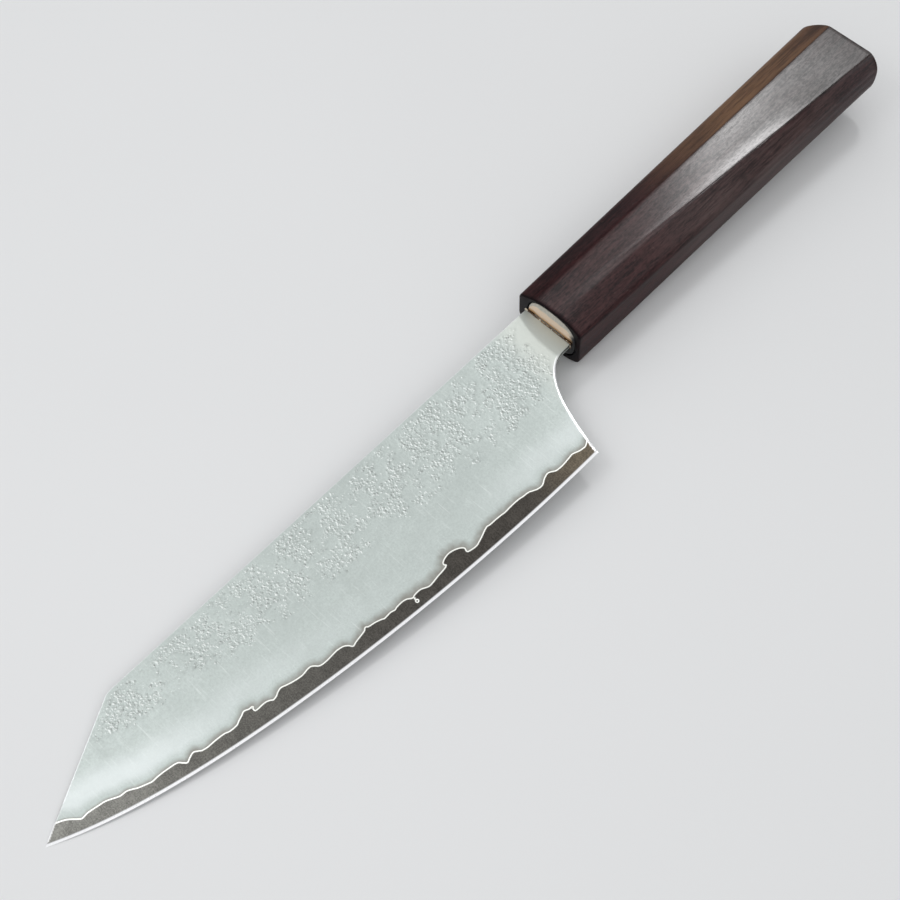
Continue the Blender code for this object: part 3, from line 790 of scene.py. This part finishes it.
handleSizes = {  # pairs are at the front and at the butt
    "length": (handleHigh.x - handleLow.x) * metre,
    "width": (22.6, (handleHigh.y - handleLow.y) * metre),
    "thickness": (18.6, (handleHigh.z - handleLow.z) * metre),
    "offsetY": (0.3, 0.0),  # the front sits a little towards the cutting edge
    "spineChamfer": ((6.5, 4.3), (8.2, 5.4)),  # across the width, down the side
    "edgeChamfer": ((9.2, 2.3), (2.8, 6.3)),
    "outerRidges": (1.4, 2.3),  # how far the outermost ridges are eased
    "innerRidges": (0.35, 3.4),  # and the rest, once the front's own form is gone and where it is full
    "ridgeLimit": 0.45,
    "ridgePoints": 7,
    "flatParts": (0.05, 0.12, 0.2, 0.4, 0.6, 0.8, 0.88, 0.95),  # where a flat has its points
    "fadeShare": 0.55,  # the front's own form is gone this far along
    "frontRidgeDrop": 0.8,
    "frontBulge": 0.9,
    "crown": (2.4, 0.07),  # the flat falls a little before its ridge: over this width, by this much
    "crownEnd": (0.6, 0.76),  # and no more from here on, as shares of the length
    "frontRim": 0.5,
    "buttRim": 0.8,
    "buttLevel": (-4.1, 9.2),  # the domed butt is level between these
    "buttFall": (4.2, 1.5, 3.3),  # and falls to the spine side, to the edge side and in half a thickness
    "stations": 150,
    "rimSteps": 7,
    "insertCentreY": 1.2,
    "insertWidth": 17.2,
    "insertHeight": 15.6,
    "insertDepth": 6.0,
    "insertPower": 2.7,
    "fitGap": 0.3,
    "beddingWall": 1.2,
    "beddingEnd": 2.5,
}
handleLook = {
    "dark": (0.010, 0.0045, 0.0055),
    "brown": (0.052, 0.018, 0.019),
    # orange-brown painted light on the spine-side chamfer towards the butt
    "warm": (0.19, 0.105, 0.055),
    "pore": (0.16, 0.12, 0.10),
    # near black on the handle's front face: painted shade
    "mouth": (0.003, 0.003, 0.004),
    "rose": (0.097, 0.074, 0.070),  # painted light: paler beyond the edge-side ridge, where that chamfer is lit
    "grey": (0.018, 0.016, 0.015),  # and greyer where the wax sheen falls towards the butt: painted sheen colour
    "roughness": 0.36,
    "specular": 0.06,
    "waxRoughness": 0.185,
    "waxEnd": (3.1, 3.8),  # the wax fades out this far before the butt's end
    # where the wax is worn: place, reach and share
    "rubbed": ((-98, 2.5, 15, 5.5, 0.4), (-79, 2.0, 14, 2.4, 0.42), (-105, 8.0, 10, 4.0, 0.42)),
    "grainLength": 0.014,
    "grainWidth": 0.0009,
}


def handleWood():
    look = handleLook
    board, place = startMaterial("handleWood")
    fine = look["grainWidth"]
    bands = place.stretch(0.10, 1.0, 1.0).noise(0.0034, 3.0, 0.6, 0.4, 2.0)
    streaks = place.stretch(fine / look["grainLength"], 1.0, 1.0).noise(fine, 4.0, 0.7, 0.2)
    mottle = place.stretch(0.6, 1.0, 1.0).noise(0.0007, 3.0, 0.7, 0.3, 9.0)
    fibres = place.stretch(0.12, 1.0, 1.0).noise(0.00036, 3.0, 0.65)
    pores = place.stretch(0.2, 1.0, 1.0).noise(0.00042, 1.0, 0.4, 0.0, 6.0)
    pore = pores.ease(0.72, 0.79)
    tone = (bands * 0.3 + streaks * 0.26 + mottle * 0.22 + fibres * 0.22).ease(0.4, 0.6)
    vein = (streaks * 0.35 + bands * 0.4 + fibres * 0.25).ease(0.38, 0.6, 0.25, 1.0)
    grey = (fibres * 0.5 + mottle * 0.5).ease(0.4, 0.6)
    color = board.paint(
        look,
        rgba(look["dark"]),
        (tone, "brown"),
        # painted shade: the spine side darker
        (board.stored("spineSide") * 0.35, "dark"),
        (board.stored("warm") * vein, "warm"),
        (board.stored("rose") * vein * 0.6, "rose"),
        (fibres.ease(0.45, 0.8) * 0.35, "brown", 1.5),
    )
    greys = board.paint(look, rgba(look["grey"], 0.45), (grey, "grey", 2.0))
    # painted sheen colour: greyer where the wax sheen falls
    color = board.blend(board.stored("grey") * 0.65, color, greys)
    # painted shade on the handle's front face
    color = board.paint(look, color, (pore * 0.3, "pore"), (board.stored("mouth"), "mouth"))
    roughness = look["roughness"] + (streaks - 0.5) * 0.3 + (fibres - 0.5) * 0.2 + pore * 0.2
    patchy = (fibres * 0.45 + mottle * 0.4 + bands * 0.15).ease(0.4, 0.6, 0.66, 1.0)
    return endMaterial(board, color, roughness, {
        "Normal": board.bump(streaks * 0.4 + fibres * 0.6 - pore * 0.6, 0.00006),
        "Coat Weight": board.stored("waxed") * patchy * (1.0 - pore * 0.2),
        "Coat Roughness": look["waxRoughness"],
        "Specular IOR Level": look["specular"],
    })


def tapered(name, share):  # one of the handle's sizes, on the way from its front to its butt
    front, butt = np.array(handleSizes[name], float)
    return mix(front, butt, share)


def handleCorners(share, fade):
    width, thick = tapered("width", share) / 2, tapered("thickness", share) / 2
    spine, edge = tapered("spineChamfer", share), tapered("edgeChamfer", share)
    bulge = edge[::-1] / math.hypot(*edge) * handleSizes["frontBulge"] * fade
    upper = straight(
        (-width, thick - spine[1]),
        (-width + spine[0], thick - handleSizes["frontRidgeDrop"] * fade),
        (width - edge[0], thick),
        (width - edge[0] / 2 + bulge[0], thick - edge[1] / 2 + bulge[1]),
        (width, thick - edge[1]),
    )
    return np.vstack([upper, upper[::-1] * (1, -1)])


def handleSection(share, inset=0.0):  # across the handle, drawn in by inset at the rims
    size = handleSizes
    fade = max(1 - share / size["fadeShare"], 0.0) ** 2
    corners = handleCorners(share, fade)
    outer, inner = tapered("outerRidges", share), mix(*size["innerRidges"], fade)
    reach = np.array([outer, inner, inner, inner, outer] * 2)
    before, after = np.roll(corners, 1, 0) - corners, np.roll(corners, -1, 0) - corners
    starts, ends = (
        corners + way * np.minimum(reach / np.linalg.norm(way, axis=1), size["ridgeLimit"])[:, None]
        for way in (before, after)
    )
    t = np.linspace(0, 1, size["ridgePoints"])[:, None]
    parts = np.array(size["flatParts"])[:, None]
    section = []
    for corner, start, end, following in zip(corners, starts, ends, np.roll(starts, -1, 0)):
        section.append(start * (1 - t) ** 2 + corner * 2 * t * (1 - t) + end * t**2)
        section.append(mix(end, following, parts))
    section = np.vstack(section)
    width, depth = size["crown"]
    toRidge = corners[2][0] - section[:, 0]
    fall = np.clip(1 - toRidge / width, 0, 1) * (toRidge > 0)
    section[:, 1] -= np.sign(section[:, 1]) * depth * fall**2 * ease(*size["crownEnd"][::-1], share)
    section = section * (1 - inset / abs(section).max(0))
    return section + (tapered("offsetY", share), 0.0)


def buttX(section):  # surface of the domed butt
    size = handleSizes
    half, halfThick = size["width"][1] / 2, size["thickness"][1] / 2
    low, high = size["buttLevel"]
    falls = size["buttFall"]
    spineSide = falls[0] * (np.clip(low - section[:, 0], 0, None) / (half + low)) ** 2
    edgeSide = falls[1] * (np.clip(section[:, 0] - high, 0, None) / (half - high)) ** 2
    return spineSide + edgeSide + falls[2] * (section[:, 1] / halfThick) ** 2 - size["length"]


def ring(x, section):
    return np.column_stack([x + 0 * section[:, 0], section])


def frontRing(turn):  # ring of the front rim, a quarter round from the face at 0 to the sides at 1
    rim, angle = handleSizes["frontRim"], turn * math.pi / 2
    return ring(-rim * (1 - math.cos(angle)), handleSection(0.0, rim * (1 - math.sin(angle))))


def bearings(like, centreY):  # of a ring's points, so that another ring can have the same
    angle = np.arctan2(like[:, 2], like[:, 1] - centreY)
    return np.stack([np.cos(angle), np.sin(angle)], 1)


def ovalRing(x, like, room):  # superellipse of the mouth insert
    size = handleSizes
    ways, power = bearings(like, size["insertCentreY"]), size["insertPower"]
    half = size["insertWidth"] / 2 + room, size["insertHeight"] / 2 + room
    radius = (abs(ways / half) ** power).sum(1) ** (-1 / power)
    return ring(x, (size["insertCentreY"], 0.0) + ways * radius[:, None])


def boxRing(x, like, room):  # section round the tang
    ways = bearings(like, blade["tangCentreY"])
    half = tang("tangWidth", blade, x) / 2 + room, tang("tang", thickness, x) / 2 + room
    radius = (half / np.maximum(abs(ways), 1e-6)).min(1)
    return ring(x, (blade["tangCentreY"], 0.0) + ways * radius[:, None])


def loftFaces(rings, count, closing=False):
    faces = []
    for first in range(rings if closing else rings - 1):
        second = (first + 1) % rings
        for index in range(count):
            a, b = first * count, second * count
            after = (index + 1) % count
            faces.append((a + index, a + after, b + after, b + index))
    return faces


def makeHandle(wood):
    size, look = handleSizes, handleLook
    rim, steps, gap = size["buttRim"], size["rimSteps"], size["fitGap"]
    mouth = -size["insertDepth"] - gap
    end = -blade["tangLength"] - size["beddingEnd"] - gap
    room = 2 * gap + size["beddingWall"]
    like = frontRing(0.0)
    rings = [boxRing(end, like, room), boxRing(mouth, like, room)]
    for x, wider in ((mouth, 0.0), (-0.2, 0.0), (-0.05, 0.03), (0.0, 0.1)):  # the insert's hole
        rings.append(ovalRing(x, like, gap + wider))
    rings += [frontRing(step / steps) for step in range(steps)]
    for share in np.linspace(0, 1, size["stations"]):
        section = handleSection(share)
        rings.append(ring(mix(-size["frontRim"], buttX(section) + rim, share), section))
    flank = buttX(section)
    for turn in np.linspace(0, math.pi / 2, steps + 3)[1:]:
        rimSection = handleSection(1.0, rim * (1 - math.cos(turn)))
        rings.append(ring(flank + rim * (1 - math.sin(turn)), rimSection))
    for share in np.linspace(1, 0, 9)[1:-1]:
        section = rimSection * share
        rings.append(ring(mix(flank, buttX(section), ease(1.0, 0.7, share)), section))
    count = len(like)
    faces = loftFaces(len(rings), count)
    points = np.vstack(rings + [[[end, blade["tangCentreY"], 0.0]], [[buttX(np.zeros((1, 2)))[0], 0.0, 0.0]]])
    last = (len(rings) - 1) * count
    for index in range(count):
        after = (index + 1) % count
        faces.append((len(points) - 2, after, index))
        faces.append((len(points) - 1, last + index, last + after))

    x, y, z = points.T
    share = np.clip(-x / size["length"], 0, 1)
    width, thick = tapered("width", share) / 2, tapered("thickness", share) / 2
    offset = tapered("offsetY", share)
    spine, edge = tapered("spineChamfer", share[:, None]), tapered("edgeChamfer", share[:, None])
    overSpine = y - (offset - (width - spine[:, 0]))  # from the two ridges towards the cutting edge
    overEdge = y - (offset + (width - edge[:, 0]))
    waxed = ease(-0.3, 0.4, overSpine) * mix(0.5, 1.0, ease(1.2, 0.2, overEdge))
    waxed *= ease(0.3, 1.0, -x) * ease(-0.6, 0.3, abs(z) - (thick - edge[:, 1]))
    waxed *= ease(*(np.array(look["waxEnd"]) - size["length"]), x)
    # painted sheen colour: greyer where the wax sheen falls towards the butt
    grey = waxed * ease(-40, -85, x) * ease(0.8, -0.2, overEdge)
    for placeX, placeY, reachX, reachY, worn in look["rubbed"]:
        waxed *= 1 - worn * np.exp(-(((x - placeX) / reachX) ** 2 + ((y - placeY) / reachY) ** 2))
    oval = np.vstack([ovalRing(0.0, like, 0.0)[:, 1:]] * len(rings) + [points[-2:, 1:]])
    fromOval = np.linalg.norm(points[:, 1:] - oval, axis=1)
    # the spine side: darker there as painted shade, and orange-brown towards the butt as painted light
    spineSide = ease(0.6, -0.4, overSpine)
    attributes = {
        "spineSide": spineSide,
        "warm": spineSide * ease(-40, -92, x) * ease(-150, -105, x),
        "rose": ease(0.0, 1.5, overEdge) * ease(-25, -58, x) * ease(-122, -98, x),
        "grey": grey,
        "waxed": waxed,
        # painted shade on the front face round the insert
        "mouth": ease(-0.7, -0.3, x) * mix(0.75, 1.0, ease(1.2, 0.6, fromOval)),
    }
    item = makeObject("handleWood", points, faces, attributes)
    closeUp(item, 32, wood)
    seat(item, "handle")
    print("handle:", len(item.data.polygons), "faces")


# Mouth of the handle: pale insert round the neck, whose grey is a painted reflection of the neck, and the
# resin that seals it


mouthLook = {
    # grey of the insert: painted reflection of the neck in the handle's polished front
    "horn": (0.58, 0.55, 0.48),
    "tan": (0.92, 0.72, 0.54),
    "amber": (0.62, 0.36, 0.17),
    "stain": (0.030, 0.014, 0.007),
    "shadow": (0.006, 0.006, 0.008),
    "roughness": 0.33,
    "tanReach": 4.6,  # mm above the neck
    "hornBand": 1.2,  # mm down from the insert's top
    "edgeBevel": 0.3,
}


def paleHornReflection():
    look = mouthLook
    board, place = startMaterial("paleHornReflection")
    fromNeck = board.stored("fromNeck")  # mm from the slot
    cloud = place.noise(0.0022, 3.0, 0.6)
    streak = place.stretch(1.0, 1.0, 0.12).noise(0.00035, 2.0, 0.6)
    tan = (fromNeck + (cloud - 0.5) * 2.0).ease(look["tanReach"] + 0.5, look["tanReach"] - 0.7)
    band = (look["hornBand"] - 0.3, look["hornBand"] + 0.3)
    tan = tan * (board.stored("fromTop") + (cloud - 0.5)).ease(*band)
    color = board.paint(
        look,
        rgba(look["horn"], 1.05),
        (streak.ease(0.3, 0.75), "horn", 0.85),
        (tan, "tan"),
        (tan * (fromNeck + (cloud - 0.5) * 2.5).ease(1.9, 0.5), "amber"),
        ((fromNeck + (cloud - 0.5) * 0.6).ease(0.45, 0.25), "stain"),
        (board.stored("edgeEnd"), "shadow"),
    )
    roughness = look["roughness"] + (streak - 0.5) * 0.15
    return endMaterial(board, color, roughness, {"Normal": board.bump(streak, 0.00003)})


def makeInsert(horn):
    size = handleSizes
    depth, bevel, gap = size["insertDepth"], mouthLook["edgeBevel"], size["fitGap"]
    like = frontRing(0.0)
    rings = [boxRing(-depth, like, gap), boxRing(0.0, like, gap)]
    face = ovalRing(0.0, like, -bevel)
    rings += [mix(rings[1], face, share) for share in (0.04, 0.2, 0.45, 0.75, 0.94)]
    for angle in np.linspace(0, math.pi / 2, 4):
        rings.append(ovalRing(-bevel * (1 - math.cos(angle)), like, -bevel * (1 - math.sin(angle))))
    rings.append(ovalRing(-depth, like, 0.0))
    points = np.vstack(rings)
    y, z = points[:, 1], points[:, 2]
    neck = np.stack([np.clip(y, blade["spineY"], blade["neckEdgeY"]), np.clip(z, -1.0, 1.0)], 1)
    across = np.clip(abs(y - size["insertCentreY"]) / (size["insertWidth"] / 2), 0, 1)
    top = size["insertHeight"] / 2 * (1 - across ** size["insertPower"]) ** (1 / size["insertPower"])
    corner = ease(5.0, 6.5, y) * ease(-0.2, -1.0, z)
    attributes = {
        "fromNeck": np.linalg.norm(points[:, 1:] - neck, axis=1),
        "fromTop": top - abs(z),
        "edgeEnd": np.maximum(ease(7.8, 8.8, y) * ease(5.2, 3.6, abs(z)), corner),
    }
    item = makeObject("mouthInsert", points, loftFaces(len(rings), len(like), True), attributes)
    closeUp(item, 40, horn)
    seat(item, "mouth_insert")
    print("mouth: insert")


beadPath = {"x": 0.42, "offNeck": 0.14, "sidePoints": 14}  # where its middle runs, in mm
beadSizes = {
    "Bead Radius": 0.00022,
    "Swell": 0.9,
    "Wander": 0.00022,
    "Seed": 2.0,
}
resinLook = {
    "amber": (0.085, 0.045, 0.022),
    "tan": (0.36, 0.24, 0.13),
    "glint": (0.85, 0.78, 0.62),
    "roughness": 0.25,
}


def resin():
    look = resinLook
    board, place = startMaterial("resin")
    cloud = place.noise(0.0016, 2.0, 0.6)
    speck = place.noise(0.0011, 1.0, 0.5, 0.0, 5.0)
    coats = (cloud.ease(0.45, 0.7), "tan"), (speck.ease(0.55, 0.66) * 0.8, "glint")
    color = board.paint(look, rgba(look["amber"]), *coats)
    roughness = look["roughness"] + (cloud - 0.5) * 0.3
    return endMaterial(board, color, roughness, {"Normal": board.bump(cloud, 0.00008)})


def growBead(board, inputs):
    place = board.add("GeometryNodeInputPosition")
    seed = inputs["Seed"]
    path = board.add("GeometryNodeMeshToCurve", {"Mesh": inputs["Geometry"]})
    path = board.add("GeometryNodeResampleCurve", {"Curve": path, "Count": 260})
    lumps = place.noise(1 / 700, seed=seed)
    radius = 1.0 + (lumps - 0.5) * 2.0 * inputs["Swell"]
    path = board.add("GeometryNodeSetCurveRadius", {"Curve": path, "Radius": radius})
    push = board.drift(place.noise(1 / 900, seed=seed, output=1), inputs["Wander"])
    path = board.add("GeometryNodeSetPosition", {"Geometry": path, "Offset": push})
    circle = {"Resolution": 10, "Radius": inputs["Bead Radius"]}
    profile = board.add("GeometryNodeCurvePrimitiveCircle", circle)
    return board.add("GeometryNodeCurveToMesh", {"Curve": path, "Profile Curve": profile})


def makeBead(coat):
    out = beadPath["offNeck"]
    half = thickness["tang"][0] / 2 + out
    low, high = blade["spineY"] - out, blade["neckEdgeY"] + out
    corners = straight((low, half), (high, half), (high, -half), (low, -half))
    shares = np.linspace(0.02, 0.98, beadPath["sidePoints"])[:, None]
    path = np.vstack([mix(a, b, shares) for a, b in zip(corners, np.roll(corners, -1, 0))])
    edges = [(index, (index + 1) % len(path)) for index in range(len(path))]
    item = makeObject("mouthResin", ring(beadPath["x"], path), [], {}, edges)
    dress(item, "resinBead", beadSizes, growBead, coat)
    item.data.shade_smooth()
    outward(item)
    seat(item, "mouth_bead")
    print("mouth: resin", len(item.data.polygons), "faces")


# Floor, light and camera


studio = {
    "floorColor": (0.80, 0.81, 0.82),
    "floorHalf": 12.0,
    "skyHigh": 0.88,  # overhead
    "skyLow": 0.20,  # near the horizon
    "lamps": {  # place, size and power
        "key": ((-1.402, -0.632, 1.95), (0.18, 0.30), 6.7),
        "tipLamp": ((0.21, -0.13, 0.42), (0.16, 0.16), 0.22),
        "fill": ((0.9, 1.0, 1.1), (1.2, 1.2), 1.0),
    },
    "lampTarget": (0.03, 0.0, 0.0),
}
cameraSetup = {
    "place": (0.16484, 0.14028, 0.35687),  # from the centre of the handle's front face
    "right": (-0.69479, 0.71825, -0.03721),
    "down": (0.65458, 0.61007, -0.44648),
    "lens": 60.0,
    "sensor": 36.0,
}


def makeFloor():
    board, place = startMaterial("paleFloor")
    cloud = place.noise(0.25, 3.0, 0.5).ease(0.3, 0.7)
    color = board.paint(studio, rgba(studio["floorColor"], 0.99), (cloud, "floorColor", 1.01))
    material = endMaterial(board, color, 0.7, {"Specular IOR Level": 0.3})
    # The knife rests on the handle's front and on the tip, so the floor climbs towards the tip
    rest = -handleSizes["thickness"][0] / 2 / metre
    slope = -rest / (blade["tipX"] + handleSizes["frontRim"]) * metre
    half = studio["floorHalf"]
    corners = []
    for x, y in ((-half, -half), (half, -half), (half, half), (-half, half)):
        z = rest - 0.00002 + (x + handleSizes["frontRim"] / metre) * slope
        corners.append(Vector((x, y, z)) + frontCentre)
    mesh = bpy.data.meshes.new("floor")
    mesh.from_pydata(corners, [], [(0, 1, 2, 3)])
    mesh.materials.append(material)
    floor = addObject("floor", mesh)


def addLamp(name, place, size, power):  # its shorter side runs towards the knife's tip
    data = bpy.data.lights.new(name, "AREA")
    data.shape = "RECTANGLE"
    data.size, data.size_y = size
    data.energy = power
    lamp = addObject(name, data)
    lamp.location = Vector(place) + frontCentre
    lamp.rotation_mode = "QUATERNION"
    back = (Vector(place) - Vector(studio["lampTarget"])).normalized()
    across = (Vector((1.0, 0.0, 0.0)) - back * back.x).normalized()
    lamp.rotation_quaternion = Matrix((across, back.cross(across), back)).transposed().to_quaternion()
    lamp.visible_camera = False


def makeWorld():
    world = bpy.data.worlds.new("studio")
    world.use_nodes = True
    world.node_tree.nodes.clear()
    board = Board(world.node_tree)
    way = board.add("ShaderNodeTexCoord")
    height = board.add("ShaderNodeSeparateXYZ", {"Vector": way}, None, 2)
    sky = height.ease(0.1, 0.8, studio["skyLow"], studio["skyHigh"])
    ground = height.ease(0.1, 0.05, 0.0, studio["skyHigh"])  # pale below the horizon
    level = board.calc("MAXIMUM", sky, ground)
    glow = board.add("ShaderNodeBackground", {"Color": (1.0, 1.0, 1.0, 1.0), "Strength": level})
    board.add("ShaderNodeOutputWorld", {"Surface": glow})
    bpy.context.scene.world = world


def makeCamera():
    data = bpy.data.cameras.new("camera")
    data.lens = cameraSetup["lens"]
    data.sensor_width = cameraSetup["sensor"]
    camera = addObject("camera", data)
    right = Vector(cameraSetup["right"]).normalized()
    up = -Vector(cameraSetup["down"]).normalized()
    turn = Matrix((right, up, right.cross(up))).transposed().to_4x4()
    camera.matrix_world = Matrix.Translation(Vector(cameraSetup["place"]) + frontCentre) @ turn
    bpy.context.scene.camera = camera


steelOutside = claddingSteel()
makeCladding("claddingLeft", "cladding_left", 1, steelOutside)
makeCladding("claddingRight", "cladding_right", -1, steelOutside)
makeCore(coreSteel())
makeHandle(handleWood())
makeInsert(paleHornReflection())
coat = resin()
makeBead(coat)
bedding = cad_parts["tang_bedding"]
bedding.data.materials.clear()
bedding.data.materials.append(coat)
print("stage")
makeFloor()
for lampName, lampValues in studio["lamps"].items():
    addLamp(lampName, *lampValues)
makeWorld()
makeCamera()
bpy.context.scene.view_settings.view_transform = "Standard"
